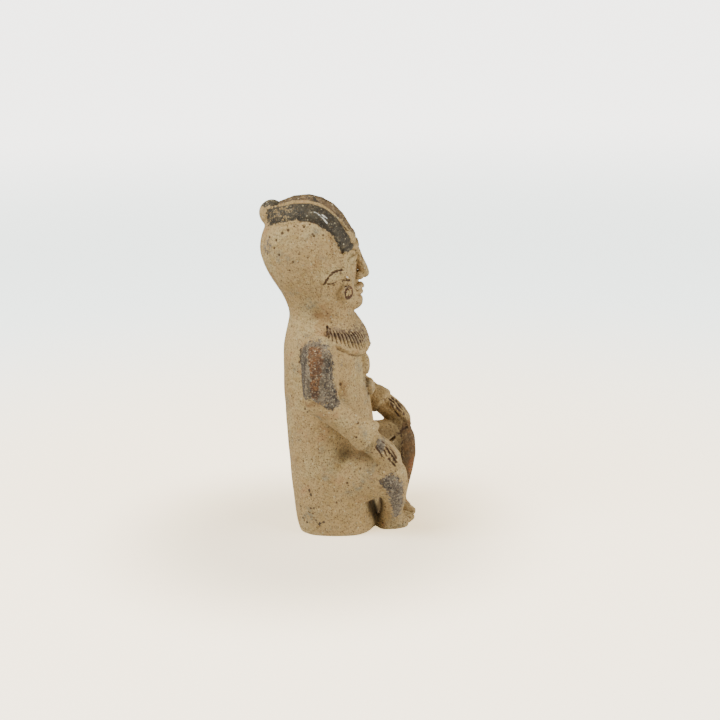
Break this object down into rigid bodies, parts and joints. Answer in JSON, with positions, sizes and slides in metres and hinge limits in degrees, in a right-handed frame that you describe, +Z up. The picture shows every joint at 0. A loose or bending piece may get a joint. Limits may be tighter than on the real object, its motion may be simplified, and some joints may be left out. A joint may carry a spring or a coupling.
{
  "type": "seated clay figurine",
  "caption": "Hand-modelled fired-clay figure seated upright with knees drawn up and hands resting on them, with a ridged hair crest, collar and wrist bands.",
  "frame": {"origin": "on the ground under the middle of the bounding box", "axes": "+Z up; the figure faces -Y; its left side is +X"},
  "size_m": [0.0818, 0.073, 0.1643],
  "materials": {
    "fired_clay": "matt buff earthenware, worn and speckled"
  },
  "bodies": {
    "root": {"seated_figure": "fired_clay"}
  },
  "joints": []
}
